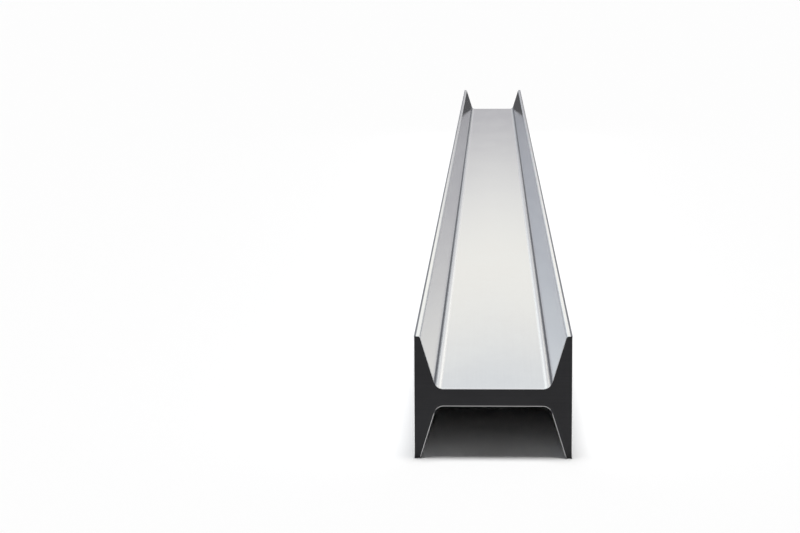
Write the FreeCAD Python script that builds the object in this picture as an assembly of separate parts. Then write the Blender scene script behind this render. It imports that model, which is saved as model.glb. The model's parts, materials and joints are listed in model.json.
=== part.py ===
"""Steel H-beam: one length of rolled section with tapered flanges.

The beam lies with its web level and its two flanges standing, so that the section
reads as a letter H. It is one piece of rolled steel, sawn square at both ends.

Frame: millimetres, +Z up. The length runs along Y, the two flanges stand at -X and +X.
The origin is on the floor, under the middle of the beam.
"""
import FreeCAD, Part
import math
import os

# Driving dimensions
LENGTH = 6000.0               # sawn length
DEPTH = 225.0                 # across the outer faces of the two flanges
FLANGE_WIDTH = 177.0          # toe to toe, the height of a flange as the beam lies
WEB_THICKNESS = 25.5
FLANGE_TIP_THICKNESS = 8.5    # at the toes, before they are rounded
FLANGE_TAPER_DEGREES = 17.2   # lean of a flange's inner face from its outer face
ROOT_RADIUS = 13.5            # hollow fillet between web and flange
TOE_RADIUS = 3.5              # rounding of a toe's inner edge
CORNER_RADIUS = 1.2           # rounding that the rolls leave on a flange's outer edge
END_EDGE_BREAK = 0.7          # chamfer that takes the saw burr off both ends

# Sizes that follow from them
HALF_DEPTH = DEPTH / 2
HALF_WIDTH = FLANGE_WIDTH / 2
HALF_WEB = WEB_THICKNESS / 2
HALF_LENGTH = LENGTH / 2
TAPER = math.tan(math.radians(FLANGE_TAPER_DEGREES))
FLANGE_ROOT_THICKNESS = FLANGE_TIP_THICKNESS + TAPER * (HALF_WIDTH - HALF_WEB)

NODE = "h_beam"
PARTS_FOLDER = "parts"


def quarter_corners():
    """Sharp corners of one quarter of the section, each with its rounding.

    The quarter is the one at +X, +Z about the middle of the web: outer edge,
    toe, and the root where the flange meets the web.
    """
    return [
        (HALF_DEPTH, HALF_WIDTH, CORNER_RADIUS),
        (HALF_DEPTH - FLANGE_TIP_THICKNESS, HALF_WIDTH, TOE_RADIUS),
        (HALF_DEPTH - FLANGE_ROOT_THICKNESS, HALF_WEB, ROOT_RADIUS),
    ]


def section_corners():
    """All corners of the section in order round it: four mirrored quarters."""
    quarter = quarter_corners()
    corners = []
    for side_x, side_z in ((1, 1), (-1, 1), (-1, -1), (1, -1)):
        turned = [(side_x * x, side_z * z, radius) for x, z, radius in quarter]
        corners += turned if side_x * side_z > 0 else turned[::-1]
    return corners


def rounded_corner(before, corner, after, radius):
    """Start, middle and end of the arc that rounds one corner of an outline."""
    towards_before = (before - corner).normalize()
    towards_after = (after - corner).normalize()
    half_angle = towards_before.getAngle(towards_after) / 2
    setback = radius / math.tan(half_angle)
    inward = (towards_before + towards_after).normalize()
    middle = corner + inward * (radius / math.sin(half_angle) - radius)
    return corner + towards_before * setback, middle, corner + towards_after * setback


def section_outline(y, base):
    """Closed wire of the section in the plane at y, with its toes down on base."""
    corners = section_corners()
    points = [FreeCAD.Vector(x, y, z + base) for x, z, _ in corners]
    count = len(corners)
    arcs = []
    for index in range(count):
        before = points[index - 1]
        after = points[(index + 1) % count]
        radius = corners[index][2]
        arcs.append(rounded_corner(before, points[index], after, radius))
    edges = []
    for index, (start, middle, end) in enumerate(arcs):
        next_start = arcs[(index + 1) % count][0]
        edges.append(Part.Arc(start, middle, end).toShape())
        edges.append(Part.LineSegment(end, next_start).toShape())
    return Part.Wire(edges)


def end_edges(beam):
    """Edges of the two sawn faces."""
    edges = []
    for face in beam.Faces:
        if abs(abs(face.CenterOfMass.y) - HALF_LENGTH) < END_EDGE_BREAK:
            edges += face.Edges
    return edges


def build_beam():
    """The rolled bar: its section drawn out along Y, with the sawn edges broken."""
    outline = section_outline(-HALF_LENGTH, HALF_WIDTH)
    bar = Part.Face(outline).extrude(FreeCAD.Vector(0, LENGTH, 0))
    return bar.makeChamfer(END_EDGE_BREAK, end_edges(bar))


os.makedirs(PARTS_FOLDER, exist_ok=True)
build_beam().exportStep(os.path.join(PARTS_FOLDER, NODE + ".step"))
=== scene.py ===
"""Steel H-beam: the looks of one length of rolled section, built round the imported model.

Everything is in metres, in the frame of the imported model: +Z up, the length along Y,
the two flanges standing at -X and +X, and the origin on the floor under the middle.
"""
import json
import logging
import math
from dataclasses import dataclass, field
from enum import Enum, IntEnum

import bmesh
import bpy
from mathutils import Matrix, Vector


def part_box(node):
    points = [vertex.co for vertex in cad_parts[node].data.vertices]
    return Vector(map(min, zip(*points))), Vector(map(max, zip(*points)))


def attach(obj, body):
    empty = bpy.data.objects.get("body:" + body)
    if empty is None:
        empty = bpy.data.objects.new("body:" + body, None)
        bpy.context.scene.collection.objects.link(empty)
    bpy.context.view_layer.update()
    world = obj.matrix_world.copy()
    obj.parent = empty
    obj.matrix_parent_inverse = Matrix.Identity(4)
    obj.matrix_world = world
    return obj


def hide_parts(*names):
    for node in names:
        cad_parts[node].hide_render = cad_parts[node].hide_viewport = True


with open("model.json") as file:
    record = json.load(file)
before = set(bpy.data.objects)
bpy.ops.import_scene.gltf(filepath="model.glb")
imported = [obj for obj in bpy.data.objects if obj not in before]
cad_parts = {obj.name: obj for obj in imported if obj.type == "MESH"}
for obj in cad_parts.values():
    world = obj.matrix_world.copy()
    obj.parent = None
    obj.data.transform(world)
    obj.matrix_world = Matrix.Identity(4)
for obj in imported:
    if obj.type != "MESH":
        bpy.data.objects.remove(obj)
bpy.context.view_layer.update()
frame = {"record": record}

MILLIMETRE = 0.001
BODY = "root"
NODE = "h_beam"
BAKE_MAP = "OFBake"

log = logging.getLogger("steel_h_beam")


# --------------------------------------------------------------------------------------
# Shader maths
# --------------------------------------------------------------------------------------


class Signal:
    """One number that varies over a surface: a node's output that Python can do sums on."""

    def __init__(self, sheet: "Sheet", socket: bpy.types.NodeSocket) -> None:
        """Keeps the socket and the sheet that new Math nodes go on."""
        self.sheet = sheet
        self.socket = socket

    def math(self, operation: str, *values: "Signal | float", clamp: bool = False) -> "Signal":
        """Adds one Math node.

        Args:
            operation: the Math node's operation.
            values: its inputs, in order, as signals or plain numbers.
            clamp: whether the result is held between 0 and 1.

        Returns:
            The node's result.
        """
        settings = {"operation": operation, "use_clamp": clamp}
        return self.sheet.signal("ShaderNodeMath", settings, dict(enumerate(values)))

    def __add__(self, other: "Signal | float") -> "Signal":
        """self + other."""
        return self.math("ADD", self, other)

    def __radd__(self, other: float) -> "Signal":
        """other + self."""
        return self.math("ADD", other, self)

    def __sub__(self, other: "Signal | float") -> "Signal":
        """self - other."""
        return self.math("SUBTRACT", self, other)

    def __rsub__(self, other: float) -> "Signal":
        """other - self."""
        return self.math("SUBTRACT", other, self)

    def __mul__(self, other: "Signal | float") -> "Signal":
        """self * other."""
        return self.math("MULTIPLY", self, other)

    def __rmul__(self, other: float) -> "Signal":
        """other * self."""
        return self.math("MULTIPLY", other, self)

    def __abs__(self) -> "Signal":
        """The distance from zero."""
        return self.math("ABSOLUTE", self)

    def or_more(self, other: "Signal | float") -> "Signal":
        """The larger of the two."""
        return self.math("MAXIMUM", self, other)

    def rise(self, low: float, high: float) -> "Signal":
        """A smooth step.

        Args:
            low: where the result is 0.
            high: where the result is 1; it may be the smaller of the two.

        Returns:
            A signal from 0 to 1.
        """
        settings = {"interpolation_type": "SMOOTHSTEP"}
        inputs = {"Value": self, "From Min": low, "From Max": high, "To Min": 0.0, "To Max": 1.0}
        return self.sheet.signal("ShaderNodeMapRange", settings, inputs)


class Sheet:
    """The node sheet of one material or world, emptied and ready to take nodes."""

    def __init__(self, owner: "bpy.types.Material | bpy.types.World") -> None:
        """Empties the owner's node tree and keeps it."""
        owner.use_nodes = True
        self.tree = owner.node_tree
        self.tree.nodes.clear()

    def node(
        self, kind: str, settings: dict | None = None, inputs: dict | None = None
    ) -> bpy.types.Node:
        """Adds any node.

        Args:
            kind: the node's type name.
            settings: its properties, set first; "stops" are a ramp's (place, colour) pairs.
            inputs: socket name or number to a value, a Signal or another node's socket.

        Returns:
            The new node.
        """
        made = self.tree.nodes.new(kind)
        for name, value in (settings or {}).items():
            if name == "stops":
                self.set_stops(made.color_ramp, value)
            else:
                setattr(made, name, value)
        for name, value in (inputs or {}).items():
            if isinstance(value, Signal):
                value = value.socket
            if isinstance(value, bpy.types.NodeSocket):
                self.tree.links.new(value, made.inputs[name])
            else:
                made.inputs[name].default_value = value
        return made

    @staticmethod
    def set_stops(ramp: bpy.types.ColorRamp, stops: list) -> None:
        """Gives a ramp its stops.

        Args:
            ramp: the ramp of a new Color Ramp node, which has two stops.
            stops: (place, colour) pairs, at least two, from 0 to 1.
        """
        for index, (place, colour) in enumerate(stops):
            stop = ramp.elements[index] if index < 2 else ramp.elements.new(place)
            stop.position = place
            stop.color = (*colour, 1.0)

    def signal(
        self,
        kind: str,
        settings: dict | None = None,
        inputs: dict | None = None,
        output: "str | int" = 0,
    ) -> Signal:
        """Adds a node, as node() does, and returns one of its outputs to do sums on."""
        return Signal(self, self.node(kind, settings, inputs).outputs[output])

    def place(self) -> tuple[Signal, Signal, Signal]:
        """The x, y and z of the point on the piece, in metres."""
        where = self.node("ShaderNodeTexCoord").outputs["Object"]
        parts = self.node("ShaderNodeSeparateXYZ", inputs={"Vector": where})
        return tuple(Signal(self, parts.outputs[axis]) for axis in "XYZ")

    def noise(self, scale: tuple[float, float, float], detail: float, seed: float = 0.0) -> Signal:
        """Cloudy variation fixed to the piece.

        Args:
            scale: cycles per metre along X, Y and Z.
            detail: how many finer layers it has.
            seed: moves the pattern, so that two with one scale differ.

        Returns:
            A signal that wanders about 0.5.
        """
        where = self.node("ShaderNodeTexCoord").outputs["Object"]
        stretched = self.node(
            "ShaderNodeMapping",
            inputs={"Vector": where, "Scale": scale, "Location": (seed, seed, seed)},
        ).outputs["Vector"]
        inputs = {"Vector": stretched, "Scale": 1.0, "Detail": detail, "Roughness": 0.55}
        return self.signal("ShaderNodeTexNoise", inputs=inputs)

    def blend(
        self, share: Signal, first: tuple, second: tuple, way: str = "MIX"
    ) -> bpy.types.NodeSocket:
        """A colour between two.

        Args:
            share: 0 for the first colour, 1 for the second.
            first: a colour, or the socket of one.
            second: a colour, or the socket of one.
            way: the Mix node's blend type; MULTIPLY tints the first with the second.

        Returns:
            The mixed colour's socket.
        """
        pair = [(*c, 1.0) if isinstance(c, tuple) else c for c in (first, second)]
        settings = {"data_type": "RGBA", "blend_type": way, "clamp_factor": True}
        made = self.node("ShaderNodeMix", settings, {0: share, 6: pair[0], 7: pair[1]})
        return made.outputs[2]

    def bump(self, height: Signal, depth: float) -> bpy.types.NodeSocket:
        """A normal that follows a height from 0 to 1, whose full rise is depth in metres."""
        inputs = {"Height": height, "Strength": 1.0, "Distance": depth}
        return self.node("ShaderNodeBump", inputs=inputs).outputs["Normal"]

    def finish(
        self, kind: str, inputs: dict, output: str = "ShaderNodeOutputMaterial"
    ) -> bpy.types.Node:
        """Adds the last shader and links it to the sheet's output.

        Args:
            kind: the shader node's type name.
            inputs: its inputs, as node() takes them.
            output: the output node's type name.

        Returns:
            The shader.
        """
        shader = self.node(kind, inputs=inputs)
        self.node(output, inputs={"Surface": shader.outputs[0]})
        return shader


# --------------------------------------------------------------------------------------
# Finishes
# --------------------------------------------------------------------------------------


class Surface(IntEnum):
    """The beam's surfaces, numbered as its material slots are."""

    SKIN = 0
    SAWN = 1


@dataclass(frozen=True)
class RolledSkin:
    """Bright skin that the finishing rolls leave: satin, with faint lines along the bar.

    The root fillets carry a painted highlight, and above it a thin painted dark line: painted
    reflections.
    Another painted dark line runs along the outer corners. The toes and the ends are worn.
    """

    half_depth: float
    half_width: float
    half_length: float
    root_start: float
    root_radius: float
    corner_radius: float
    light: tuple[float, float, float] = (0.74, 0.74, 0.74)
    dark: tuple[float, float, float] = (0.675, 0.67, 0.68)
    worn: tuple[float, float, float] = (0.88, 0.88, 0.88)
    # painted highlight: the pale colour painted into the root fillets in place of their reflection
    painted_root_highlight: tuple[float, float, float] = (0.92, 0.92, 0.91)
    # painted dark reflection: the near-black colour of the lines above the root fillets and along the
    # outer corners
    scale: tuple[float, float, float] = (0.105, 0.108, 0.125)
    smooth: float = 0.07
    rough: float = 0.10
    matt: float = 0.6
    duller_rounding: float = 0.2
    # shares of the painted dark lines and of the painted highlight
    painted_line_share: float = 0.92
    painted_root_highlight_share: float = 0.75
    toe_wear: tuple[float, float] = (4.5 * MILLIMETRE, 1.0 * MILLIMETRE)
    end_wear: tuple[float, float] = (12.0 * MILLIMETRE, 6.0 * MILLIMETRE)
    # widths of the painted dark lines, painted reflections, along the outer corners
    rim_edge: tuple[float, float] = (3.3 * MILLIMETRE, 2.6 * MILLIMETRE)
    rim_top: float = 0.7 * MILLIMETRE
    rounding_in: tuple[float, float] = (3.6 * MILLIMETRE, 2.4 * MILLIMETRE)
    rounding_out: tuple[float, float] = (0.6 * MILLIMETRE, 0.1 * MILLIMETRE)
    relief: float = 0.001 * MILLIMETRE

    def inward(self, place: Signal, edge: float, band: tuple[float, float]) -> Signal:
        """Rises from 0 to 1 towards an edge.

        Args:
            place: the distance from the beam's middle, in metres.
            edge: where the edge lies, in metres.
            band: how far inside the edge the rise starts and ends, in metres.

        Returns:
            A share from 0 to 1.
        """
        return place.rise(edge - band[0], edge - band[1])

    def height(self, sheet: Sheet) -> Signal:
        """How far a point lies above or below the middle of the web, in metres."""
        return abs(sheet.place()[2] - self.half_width)

    def wear(self, sheet: Sheet, mottle: Signal) -> Signal:
        """Finds where handling has rubbed the skin, on the toes and round the ends.

        Args:
            sheet: the finish's node sheet.
            mottle: patchy variation, which the wear follows.

        Returns:
            0 where the skin is as rolled, up to 1 where it is rubbed bright.
        """
        toes = self.inward(self.height(sheet), self.half_width, self.toe_wear)
        ends = self.inward(abs(sheet.place()[1]), self.half_length, self.end_wear)
        return toes.or_more(ends * 0.7) * (0.6 + mottle.rise(0.25, 0.6) * 0.4)

    def roots(self, sheet: Sheet, mottle: Signal) -> tuple[Signal, Signal]:
        """Finds where a highlight and a dark line are painted in the four fillets between the web and
        the flanges.

        Args:
            sheet: the finish's node sheet.
            mottle: patchy variation, which makes the edges a little uneven.

        Returns:
            The shares of the painted highlight and of the painted dark line, each from 0 to 1.
        """
        into_root = (abs(sheet.place()[0]) - self.root_start) * (1 / self.root_radius)
        into_root = into_root + mottle * 0.03
        # painted highlight: a pale band across the fillet, painted in place of its reflection
        painted_root_highlight = into_root.rise(0.16, 0.40) - into_root.rise(0.70, 0.82)
        # painted dark reflection: a thin dark line just above the fillet
        scale = into_root.rise(0.78, 0.86) - into_root.rise(0.98, 1.07)
        return painted_root_highlight, scale

    def rims(self, sheet: Sheet) -> Signal:
        """Finds the painted dark lines, painted dark reflections, along the four outer corners.

        Args:
            sheet: the finish's node sheet.

        Returns:
            The share of the painted dark line, from 0 to 1.
        """
        outer = self.inward(abs(sheet.place()[0]), self.half_depth, self.rim_edge)
        top = self.inward(self.height(sheet), self.half_width, (self.corner_radius, self.rim_top))
        return outer * top

    def gloss(self, sheet: Sheet, tone: Signal) -> Signal:
        """Finds how rough the bright steel is; the roundings of the toes are duller.

        Args:
            sheet: the finish's node sheet.
            tone: 0 where the skin is dark, 1 where it is light.

        Returns:
            The roughness.
        """
        height = self.height(sheet)
        rounding = self.inward(height, self.half_width, self.rounding_in)
        rounding = rounding - self.inward(height, self.half_width, self.rounding_out)
        return self.smooth + tone * (self.rough - self.smooth) + rounding * self.duller_rounding

    def material(self) -> bpy.types.Material:
        """Builds the finish.

        Returns:
            The material, which follows the piece's own coordinates.
        """
        made = bpy.data.materials.new("rolled_skin")
        sheet = Sheet(made)
        clouds = sheet.noise((9.0, 3.0, 9.0), 4.0)
        mottle = sheet.noise((60.0, 22.0, 60.0), 5.0, seed=3.1)
        lines = sheet.noise((420.0, 1.6, 420.0), 3.0, seed=7.7)
        grain = sheet.noise((900.0, 40.0, 900.0), 4.0, seed=1.3)
        tone = clouds.rise(0.35, 0.65) * 0.5 + mottle.rise(0.3, 0.7) * 0.25 + lines.rise(0.3, 0.7) * 0.25
        # painted reflections: a pale highlight in the root fillets, and dark lines above them (held) and
        # along the outer corners (rims)
        painted_root_highlight, held = self.roots(sheet, mottle)
        scale = held.or_more(self.rims(sheet)) * self.painted_line_share

        colour = sheet.blend(tone, self.dark, self.light)
        colour = sheet.blend(self.wear(sheet, mottle), colour, self.worn)
        # paints the highlight into the fillets, then the dark reflection lines near black
        colour = sheet.blend(painted_root_highlight, colour, self.painted_root_highlight)
        colour = sheet.blend(scale, colour, self.scale)
        gloss = self.gloss(sheet, tone)
        sheet.finish(
            "ShaderNodeBsdfPrincipled",
            {
                "Base Color": colour,
                "Metallic": 1.0 - scale.or_more(painted_root_highlight * self.painted_root_highlight_share),
                "Roughness": gloss + scale * (self.matt - gloss),
                "Specular IOR Level": 0.1,
                "Normal": sheet.bump(lines * 0.6 + grain * 0.4, self.relief),
            },
        )
        return made


@dataclass(frozen=True)
class PaintedShadeSawnFace:
    """Sawn face, painted near black as painted shade: matt, with fine lines where the blade ran across.
    """

    # painted shade: the near-black colours of both end faces
    light: tuple[float, float, float] = (0.043, 0.0425, 0.0445)
    dark: tuple[float, float, float] = (0.031, 0.0305, 0.0322)
    blade_lines_per_metre: float = 900.0

    def material(self) -> bpy.types.Material:
        """Builds the finish.

        Returns:
            The material, whose lines run level across both ends.
        """
        made = bpy.data.materials.new("sawn_face")
        sheet = Sheet(made)
        strokes = sheet.noise((3.0, 3.0, self.blade_lines_per_metre), 3.0, seed=2.2)
        clouds = sheet.noise((14.0, 14.0, 30.0), 4.0, seed=5.5)
        specks = sheet.noise((700.0, 700.0, 700.0), 3.0, seed=9.1)
        tone = strokes.rise(0.3, 0.7) * 0.4 + clouds.rise(0.3, 0.7) * 0.4 + specks.rise(0.3, 0.7) * 0.2
        sheet.finish(
            "ShaderNodeBsdfPrincipled",
            {
                "Base Color": sheet.blend(tone, self.dark, self.light),
                "Metallic": 1.0,
                "Roughness": 0.42 + tone * 0.12,
                "Normal": sheet.bump(strokes * 0.7 + specks * 0.3, 0.00006),
            },
        )
        return made


# --------------------------------------------------------------------------------------
# The beam
# --------------------------------------------------------------------------------------


@dataclass(frozen=True)
class MapLayout:
    """How the beam's unrolled map is shared out, in shares of the map's width and height.

    An edge of the section that is shorter than the fine edge, in metres, gets extra room.
    """

    skin_bottom: float = 0.005
    skin_height: float = 0.735
    sawn_bottom: float = 0.77
    sawn_height: float = 0.22
    sawn_width: float = 0.48
    margin: float = 0.01
    break_start: float = 0.002
    break_width: float = 0.008
    fine_edge: float = 5 * MILLIMETRE
    fine_room: float = 3.0


LAYOUT = MapLayout()


@dataclass(frozen=True)
class Corner:
    """One sharp corner of the section's outline, in the plane across the beam."""

    point: Vector
    radius: float
    segments: int


@dataclass
class RolledBeam:
    """One length of rolled H section, lying on the toes of its flanges."""

    lowest: Vector
    highest: Vector
    web: float
    tip: float = 8.5 * MILLIMETRE
    taper: float = math.tan(math.radians(17.2))
    root_radius: float = 13.5 * MILLIMETRE
    toe_radius: float = 3.5 * MILLIMETRE
    corner_radius: float = 1.2 * MILLIMETRE
    end_break: float = 0.7 * MILLIMETRE
    name: str = "h_beam_rolled"
    piece: bpy.types.Object | None = field(default=None, init=False)

    @property
    def half_depth(self) -> float:
        """Half the distance across the two flanges."""
        return (self.highest.x - self.lowest.x) / 2

    @property
    def half_width(self) -> float:
        """Half the width of a flange, toe to toe."""
        return (self.highest.z - self.lowest.z) / 2

    @property
    def half_length(self) -> float:
        """Half the sawn length."""
        return (self.highest.y - self.lowest.y) / 2

    @property
    def root(self) -> float:
        """The thickness a flange would have at the web, were there no fillet."""
        return self.tip + self.taper * (self.half_width - self.web / 2)

    def corners(self) -> list[Corner]:
        """Lists the corners of the section: those of one quarter and their mirror images.

        Returns:
            The corners, in order round the outline.
        """
        half_web = self.web / 2
        quarter = [
            (self.half_depth, self.half_width, self.corner_radius, 5),
            (self.half_depth - self.tip, self.half_width, self.toe_radius, 8),
            (self.half_depth - self.root, half_web, self.root_radius, 20),
        ]
        found = []
        for side_x, side_z in ((1, 1), (-1, 1), (-1, -1), (1, -1)):
            turned = [
                Corner(Vector((side_x * x, 0, side_z * z)), radius, segments)
                for x, z, radius, segments in quarter
            ]
            found += turned if side_x * side_z > 0 else turned[::-1]
        return found

    def round_corner(
        self, mesh: bmesh.types.BMesh, before: Vector, corner: Corner, after: Vector
    ) -> tuple[bmesh.types.BMVert, bmesh.types.BMVert]:
        """Spins one vertex into the arc that rounds a corner.

        Args:
            mesh: the mesh that the arc goes in.
            before: the corner before this one.
            corner: the corner to round.
            after: the corner after this one.

        Returns:
            The arc's first and last vertex.
        """
        back = (before - corner.point).normalized()
        on = (after - corner.point).normalized()
        half_angle = back.angle(on) / 2
        start = corner.point + back * (corner.radius / math.tan(half_angle))
        centre = corner.point + (back + on).normalized() * (corner.radius / math.sin(half_angle))
        turn = math.copysign(math.pi - 2 * half_angle, on.cross(back).y)
        first = mesh.verts.new(start)
        spun = bmesh.ops.spin(
            mesh,
            geom=[first],
            cent=centre,
            axis=(0, 1, 0),
            dvec=(0, 0, 0),
            angle=turn,
            space=Matrix.Identity(4),
            steps=corner.segments,
            use_merge=False,
            use_normal_flip=False,
            use_duplicate=False,
        )
        last = next(g for g in spun["geom_last"] if isinstance(g, bmesh.types.BMVert))
        return first, last

    def section(self, mesh: bmesh.types.BMesh) -> bmesh.types.BMFace:
        """Draws the section's outline about the origin and fills it.

        Args:
            mesh: an empty mesh.

        Returns:
            The one face that fills the outline.
        """
        corners = self.corners()
        count = len(corners)
        arcs = []
        for index, corner in enumerate(corners):
            before = corners[index - 1].point
            after = corners[(index + 1) % count].point
            arcs.append(self.round_corner(mesh, before, corner, after))
        for index, (_, last) in enumerate(arcs):
            following = arcs[(index + 1) % count][0]
            bmesh.ops.contextual_create(mesh, geom=[last, following])
        made = bmesh.ops.contextual_create(mesh, geom=list(mesh.edges))
        return made["faces"][0]

    def draw_out(self, mesh: bmesh.types.BMesh, section: bmesh.types.BMFace) -> None:
        """Draws the section out to the beam's length and sets it down on its toes.

        Args:
            mesh: the mesh that holds the section.
            section: the section's face, drawn about the origin.
        """
        made = bmesh.ops.extrude_face_region(mesh, geom=[section])
        far_end = [g for g in made["geom"] if isinstance(g, bmesh.types.BMVert)]
        bmesh.ops.translate(mesh, verts=far_end, vec=(0, 2 * self.half_length, 0))
        middle = (self.lowest + self.highest) / 2
        settle = Vector((middle.x, self.lowest.y, middle.z))
        bmesh.ops.translate(mesh, verts=list(mesh.verts), vec=settle)
        bmesh.ops.recalc_face_normals(mesh, faces=list(mesh.faces))

    def break_ends(self, mesh: bmesh.types.BMesh) -> None:
        """Takes the saw burr off the edges of both ends, and tells skin from sawn face.

        Args:
            mesh: the beam, with sharp ends.
        """
        caps = [face for face in mesh.faces if abs(face.normal.y) > 0.9]
        rims = list({edge for face in caps for edge in face.edges})
        bmesh.ops.bevel(
            mesh,
            geom=rims,
            offset=self.end_break,
            offset_type="OFFSET",
            segments=2,
            profile=0.5,
            affect="EDGES",
            material=-1,
        )
        for face in mesh.faces:
            face.smooth = True
            face.material_index = Surface.SAWN if abs(face.normal.y) > 0.999 else Surface.SKIN

    def along(self, y: float) -> float:
        """Finds where a place along the beam lies across the map.

        Args:
            y: the place, in metres.

        Returns:
            A share from 0 to 1; the broken ends get a few texels of their own.
        """
        edge = self.end_break
        from_end = min(y - self.lowest.y, self.highest.y - y)
        if from_end < edge:
            share = LAYOUT.break_start + LAYOUT.break_width * from_end / edge
        else:
            part = (from_end - edge) / (2 * (self.half_length - edge))
            share = LAYOUT.margin + (1 - 2 * LAYOUT.margin) * part
        return share if y < (self.lowest.y + self.highest.y) / 2 else 1 - share

    def outline(self, mesh: bmesh.types.BMesh) -> list[bmesh.types.BMVert]:
        """Walks round the skin beside the near end's broken edge.

        Args:
            mesh: the beam, with its ends broken.

        Returns:
            The vertices there, in order round the beam, always the same way.
        """
        near = self.lowest.y + self.end_break
        row = [vert for vert in mesh.verts if abs(vert.co.y - near) < 1e-6]
        ring = [min(row, key=lambda vert: vert.co.x + vert.co.z)]
        left = set(row) - set(ring)
        while left:
            beside = (edge.other_vert(ring[-1]) for edge in ring[-1].link_edges)
            ring.append(next(vert for vert in beside if vert in left))
            left.remove(ring[-1])
        turns = (a.co.z * b.co.x - a.co.x * b.co.z for a, b in zip(ring, ring[1:] + ring[:1]))
        return ring if sum(turns) < 0 else ring[::-1]

    def measure_girth(self, mesh: bmesh.types.BMesh) -> dict[bmesh.types.BMVert, float]:
        """Finds how far round the outline each vertex lies, from 0 to 1.

        Short edges, round the toes and the fillets, count for more, so the map shows them well.

        Args:
            mesh: the beam, with its ends broken.

        Returns:
            Each vertex's share of the way round.
        """
        ring = self.outline(mesh)
        run = [0.0]
        for before, vert in zip(ring, ring[1:] + ring[:1]):
            reach = (vert.co - before.co).length
            room = LAYOUT.fine_room if reach < LAYOUT.fine_edge else 1.0
            run.append(run[-1] + reach * room)
        girth = {vert: done / run[-1] for vert, done in zip(ring, run)}
        row = ring
        while row:
            pairs = [(vert, edge.other_vert(vert)) for vert in row for edge in vert.link_edges]
            fresh = {other: girth[vert] for vert, other in pairs if other not in girth}
            girth.update(fresh)
            row = list(fresh)
        return girth

    def lay_out_map(self, mesh: bmesh.types.BMesh) -> None:
        """Unrolls the skin over the map's lower part and lays both sawn faces above it.

        Args:
            mesh: the beam, with its ends broken.
        """
        chart = mesh.loops.layers.uv.new(BAKE_MAP)
        girth = self.measure_girth(mesh)
        for face in mesh.faces:
            rounds = [girth[loop.vert] for loop in face.loops]
            seam = max(rounds) - min(rounds) > 0.5
            for loop, round_by in zip(face.loops, rounds):
                point = loop.vert.co
                if face.material_index == Surface.SAWN:
                    across = (point.x - self.lowest.x) / (2 * self.half_depth)
                    up = (point.z - self.lowest.z) / (2 * self.half_width)
                    across = LAYOUT.margin + LAYOUT.sawn_width * across
                    across = across if point.y < 0 else 1 - across
                    loop[chart].uv = (across, LAYOUT.sawn_bottom + LAYOUT.sawn_height * up)
                else:
                    round_by += 1.0 if seam and round_by < 0.5 else 0.0
                    round_by = LAYOUT.skin_bottom + LAYOUT.skin_height * round_by
                    loop[chart].uv = (self.along(point.y), round_by)

    def build(self) -> "RolledBeam":
        """Builds the mesh and makes it a piece of the object.

        Returns:
            The beam itself, so that dress() can follow.
        """
        mesh = bmesh.new()
        self.draw_out(mesh, self.section(mesh))
        self.break_ends(mesh)
        self.lay_out_map(mesh)
        data = bpy.data.meshes.new(self.name)
        mesh.to_mesh(data)
        mesh.free()
        data.set_sharp_from_angle(angle=math.radians(25))
        self.piece = bpy.data.objects.new(self.name, data)
        bpy.context.scene.collection.objects.link(self.piece)
        weigh = self.piece.modifiers.new("even_flats", "WEIGHTED_NORMAL")
        weigh.keep_sharp = True
        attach(self.piece, BODY)
        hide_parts(NODE)
        return self

    def dress(self) -> "RolledBeam":
        """Gives the skin and the sawn ends their finishes.

        Returns:
            The beam itself.
        """
        lead = self.root_radius * math.tan(math.pi / 4 - math.atan(self.taper) / 2)
        skin = RolledSkin(
            half_depth=self.half_depth,
            half_width=self.half_width,
            half_length=self.half_length,
            root_start=self.half_depth - self.root - lead,
            root_radius=self.root_radius,
            corner_radius=self.corner_radius,
        )
        self.piece.data.materials.append(skin.material())
        self.piece.data.materials.append(PaintedShadeSawnFace().material())
        return self


# --------------------------------------------------------------------------------------
# The studio
# --------------------------------------------------------------------------------------


class SeenBy(Enum):
    """What kind of ray meets a piece of the studio."""

    EVERYTHING = "everything"
    REFLECTIONS = "reflections"


@dataclass
class Panel:
    """A flat panel of the studio that isn't part of the object: the floor or a flag."""

    name: str
    half_x: float
    half_y: float
    centre: Vector
    colour: tuple[float, float, float]
    seen_by: SeenBy = SeenBy.EVERYTHING

    def build(self) -> bpy.types.Object:
        """Builds the panel and paints it.

        Returns:
            The panel, which belongs to the stage.
        """
        mesh = bmesh.new()
        size = Matrix.Diagonal((self.half_x, self.half_y, 1, 1))
        bmesh.ops.create_grid(mesh, x_segments=1, y_segments=1, size=1, matrix=size)
        bmesh.ops.translate(mesh, verts=list(mesh.verts), vec=self.centre)
        data = bpy.data.meshes.new(self.name)
        mesh.to_mesh(data)
        mesh.free()
        sheet_object = bpy.data.objects.new(self.name, data)
        bpy.context.scene.collection.objects.link(sheet_object)
        data.materials.append(self.paint())
        if self.seen_by is SeenBy.REFLECTIONS:
            sheet_object.visible_camera = False
            sheet_object.visible_diffuse = False
            sheet_object.visible_transmission = False
            sheet_object.visible_shadow = False
        return sheet_object

    def paint(self) -> bpy.types.Material:
        """Mixes a matt paint of the panel's one colour.

        Returns:
            The material.
        """
        made = bpy.data.materials.new(self.name + "_paint")
        Sheet(made).finish("ShaderNodeBsdfDiffuse", {"Color": (*self.colour, 1.0)})
        return made


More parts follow.
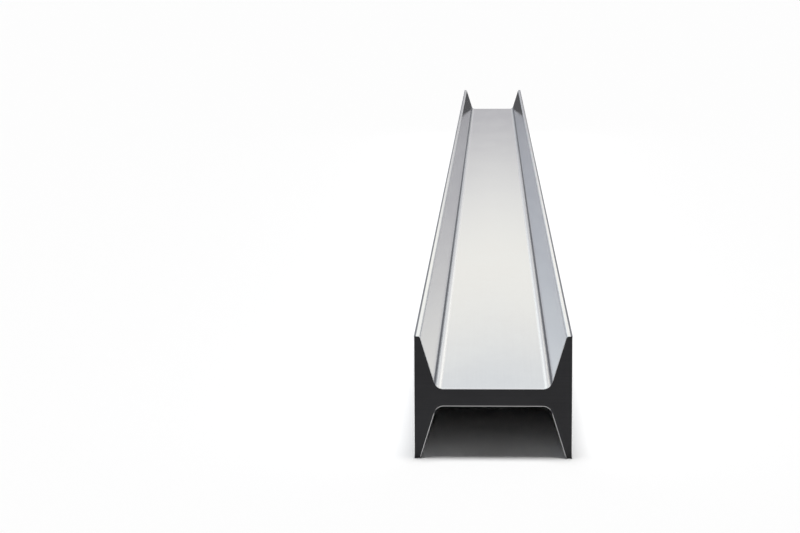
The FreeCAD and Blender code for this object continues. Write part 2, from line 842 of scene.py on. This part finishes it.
@dataclass
class BlackFlag(Panel):
    """A black panel on the floor that only reflections show.

    Round the beam it is as pale as the floor. Under the beam it is black as painted shade, for the
    shadowed floor; it is black far from the beam too.
    """

    beside: tuple[float, float, float] = (0.97, 0.97, 0.97)
    beam_half_x: float = 0.1
    beam_half_y: float = 1.0
    pale_to: float = 1.2
    black_from: float = 1.9
    outline: tuple[float, float] = (-5 * MILLIMETRE, 20 * MILLIMETRE)

    def paint(self) -> bpy.types.Material:
        """Mixes a matt paint that is black inside the beam's outline, as painted shade, and far outside
        it.

        Returns:
            The material.
        """
        made = bpy.data.materials.new(self.name + "_paint")
        sheet = Sheet(made)
        x, y, _ = sheet.place()
        away = (abs(x) - self.beam_half_x).or_more(abs(y) - self.beam_half_y)
        # black inside the beam's outline: painted shade for the floor that reflections in the trough
        # show
        pale = away.rise(*self.outline) - away.rise(self.pale_to, self.black_from)
        sheet.finish("ShaderNodeBsdfDiffuse", {"Color": sheet.blend(pale, self.colour, self.beside)})
        return made


@dataclass(frozen=True)
class SoftLamp:
    """A broad lamp that is far away, so that it lights the whole floor evenly.

    The level is the share of a floor's own colour that this lamp makes it render at.
    """

    name: str
    azimuth: float
    elevation: float
    spread: float
    level: float
    colour: tuple[float, float, float] = (1.0, 1.0, 1.0)

    def build(self) -> bpy.types.Object:
        """Hangs the lamp.

        Returns:
            The lamp, which reflections don't show.
        """
        data = bpy.data.lights.new(self.name, "SUN")
        data.angle = math.radians(self.spread)
        data.energy = self.level * math.pi / math.sin(math.radians(self.elevation))
        data.color = self.colour
        lamp = bpy.data.objects.new(self.name, data)
        turn = Matrix.Rotation(math.radians(-self.azimuth), 4, "Z")
        lean = Matrix.Rotation(math.radians(self.elevation - 90), 4, "X")
        lamp.matrix_world = turn @ lean
        lamp.visible_glossy = False
        bpy.context.scene.collection.objects.link(lamp)
        return lamp


@dataclass(frozen=True)
class Surroundings:
    """The white studio round the beam: what is seen of it, and the even light it gives.

    Lamp light comes mostly from above, so matt things get little from near the horizon.
    Metal sees a low dark band at the horizon, which draws its edges, and white above it.
    The bands dip with the lean and the narrowing, and one side of the studio is cooler.
    """

    horizon_light: float = 0.001
    zenith_light: float = 0.305
    lean: float = 0.045
    narrowing: float = 0.20
    cool: tuple[float, float, float] = (0.945, 1.0, 1.06)
    bands: tuple = (
        (0.00, (0.24, 0.245, 0.26)),
        (0.067, (0.475, 0.47, 0.50)),
        (0.103, (0.86, 0.86, 0.85)),
        (0.131, (1.02, 1.01, 0.955)),
        (0.158, (0.97, 0.965, 0.93)),
        (0.190, (0.80, 0.84, 0.875)),
        (0.40, (0.78, 0.80, 0.82)),
        (0.75, (0.92, 0.92, 0.92)),
    )

    def build(self) -> bpy.types.World:
        """Makes the world.

        Returns:
            The scene's world.
        """
        world = bpy.data.worlds.new("white_studio")
        bpy.context.scene.world = world
        sheet = Sheet(world)
        way = sheet.node("ShaderNodeTexCoord").outputs["Generated"]
        parts = sheet.node("ShaderNodeSeparateXYZ", inputs={"Vector": way})
        across, up = (Signal(sheet, parts.outputs[axis]) for axis in ("X", "Z"))
        rays = sheet.node("ShaderNodeLightPath").outputs
        camera = Signal(sheet, rays["Is Camera Ray"])
        glossy = Signal(sheet, rays["Is Glossy Ray"])
        seen = camera.or_more(glossy).or_more(Signal(sheet, rays["Is Transmission Ray"]))

        steep = up.or_more(0.0) * up * up
        level = steep * (self.zenith_light - self.horizon_light) + self.horizon_light
        lit = sheet.node("ShaderNodeBackground", inputs={"Color": (1, 1, 1, 1), "Strength": level})
        band = up + across * self.lean - abs(across) * self.narrowing
        ramp = sheet.node("ShaderNodeValToRGB", {"stops": self.bands}, {"Fac": band})
        cool_side = across.rise(-0.02, -0.08)
        tinted = sheet.blend(cool_side, ramp.outputs["Color"], self.cool, "MULTIPLY")
        colour = sheet.blend(glossy, (1.0, 1.0, 1.0), tinted)
        white = sheet.node("ShaderNodeBackground", inputs={"Color": colour, "Strength": 1.0})
        ends = {0: seen, 1: lit.outputs[0], 2: white.outputs[0]}
        sheet.finish("ShaderNodeMixShader", ends, "ShaderNodeOutputWorld")
        return world


@dataclass(frozen=True)
class Viewpoint:
    """Where the camera stands, from the middle of the near end's lower edge."""

    aside: float = -0.0016
    back: float = 3.1595
    height: float = 0.708
    turned_left: float = 2.352
    tilted_down: float = 7.771
    rolled: float = -0.311
    lens: float = 101.76
    sensor: float = 36.0
    farthest: float = 500.0

    def build(self, near_end: Vector) -> bpy.types.Object:
        """Sets the camera up.

        Args:
            near_end: the middle of the near end's lower edge.

        Returns:
            The camera, which is the scene's own.
        """
        data = bpy.data.cameras.new("camera")
        data.lens = self.lens
        data.sensor_width = self.sensor
        data.clip_end = self.farthest
        camera = bpy.data.objects.new("camera", data)
        turn = Matrix.Rotation(math.radians(self.turned_left), 4, "Z")
        tilt = Matrix.Rotation(math.radians(90 - self.tilted_down), 4, "X")
        roll = Matrix.Rotation(math.radians(self.rolled), 4, "Z")
        eye = near_end + Vector((self.aside, -self.back, self.height))
        camera.matrix_world = Matrix.Translation(eye) @ turn @ tilt @ roll
        bpy.context.scene.collection.objects.link(camera)
        bpy.context.scene.camera = camera
        return camera


def mount_height(name: str) -> float:
    """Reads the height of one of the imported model's mounts.

    Args:
        name: the mount's name.

    Returns:
        Its height above the floor, in metres.
    """
    mounts = frame["record"]["mounts"]
    return next(m["pos_m"][2] for m in mounts if m["name"] == name)


def build_studio(beam: RolledBeam) -> None:
    """Lays the floor and the flag, hangs the lamp and sets up the camera.

    Args:
        beam: the beam that stands in the studio.
    """
    Panel("floor", 200.0, 200.0, Vector((0, 0, 0)), (0.97, 0.97, 0.97)).build()
    BlackFlag(
        "black_flag",
        half_x=100.0,
        half_y=100.0,
        centre=Vector((0, 0, 0.0004)),
        colour=(0.09, 0.09, 0.095),
        seen_by=SeenBy.REFLECTIONS,
        beam_half_x=beam.half_depth,
        beam_half_y=beam.half_length,
    ).build()
    SoftLamp("overhead_softbox", 0, 90, 26, 0.892).build()
    Surroundings().build()
    Viewpoint().build(Vector((0, beam.lowest.y, beam.lowest.z)))
    bpy.context.scene.view_settings.view_transform = "Standard"


def main() -> None:
    """Builds the beam and the studio."""
    logging.basicConfig(level=logging.INFO, format="%(name)s: %(message)s")
    lowest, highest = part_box(NODE)
    web = mount_height("web_top") - mount_height("web_underside")
    beam = RolledBeam(lowest, highest, web).build().dress()
    log.info("%s: %d faces", beam.name, len(beam.piece.data.polygons))
    build_studio(beam)
    log.info("studio: %d lamps", len(bpy.data.lights))


if __name__ == "__main__":
    main()
